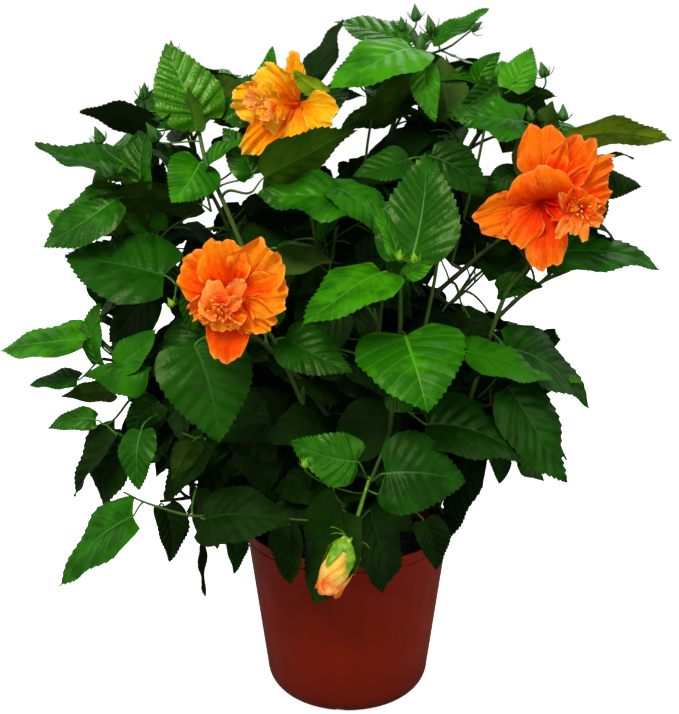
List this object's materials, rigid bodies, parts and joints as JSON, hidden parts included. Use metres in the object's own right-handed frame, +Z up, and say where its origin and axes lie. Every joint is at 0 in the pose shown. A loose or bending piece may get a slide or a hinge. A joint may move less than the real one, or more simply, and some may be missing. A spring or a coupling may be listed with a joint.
{
  "type": "potted hibiscus shrub",
  "caption": "Flowering hibiscus shrub with glossy toothed leaves, large ruffled blooms and pointed buds, growing from a round plastic nursery pot.",
  "frame": {"origin": "centre of the pot's flat underside, where the plant stands on the floor", "axes": "+Z up, -Y towards the front of the plant, +X to its right as seen from the front"},
  "size_m": [0.7688, 0.6288, 0.8372],
  "materials": {
    "pot": "moulded terracotta-brown plastic with a satin skin and faint upright flutes",
    "soil": "dark moist potting mix with bark crumbs",
    "stem": "thin grey-brown bark, olive where it is young",
    "bough": "smooth green bark that browns towards the foot",
    "foliage": "glossy deep green leaves with quilted side veins and matt undersides",
    "bloom": "thin ruffled petals, orange-red at the throat and yellow-orange at the edge"
  },
  "bodies": {
    "root": {"pot": "pot", "soil": "soil", "stem_front": "stem", "stem_left": "stem", "stem_right": "stem", "stem_back": "stem", "stem_middle": "stem", "bough_top_left": "bough", "foliage_top_left": "foliage", "bough_top_front": "bough", "foliage_top_front": "foliage", "bough_top_middle": "bough", "foliage_top_middle": "foliage", "bough_top_right": "bough", "foliage_top_right": "foliage", "bough_right_upper": "bough", "foliage_right_upper": "foliage", "bough_top_back_left": "bough", "foliage_top_back_left": "foliage", "bough_top_back_right": "bough", "foliage_top_back_right": "foliage", "bough_left_arm": "bough", "foliage_left_arm": "foliage", "bough_front_left": "bough", "foliage_front_left": "foliage", "bough_front_middle": "bough", "foliage_front_middle": "foliage", "bough_front_right": "bough", "foliage_front_right": "foliage", "bough_right": "bough", "foliage_right": "foliage", "bough_left": "bough", "foliage_left": "foliage", "bough_back": "bough", "foliage_back": "foliage", "bough_back_left": "bough", "foliage_back_left": "foliage", "bough_back_right": "bough", "foliage_back_right": "foliage", "bough_low_left": "bough", "foliage_low_left": "foliage", "bough_low_front": "bough", "foliage_low_front": "foliage", "bough_low_right": "bough", "foliage_low_right": "foliage", "bough_low_back_left": "bough", "foliage_low_back_left": "foliage", "bough_low_back_right": "bough", "foliage_low_back_right": "foliage"}
  },
  "joints": []
}
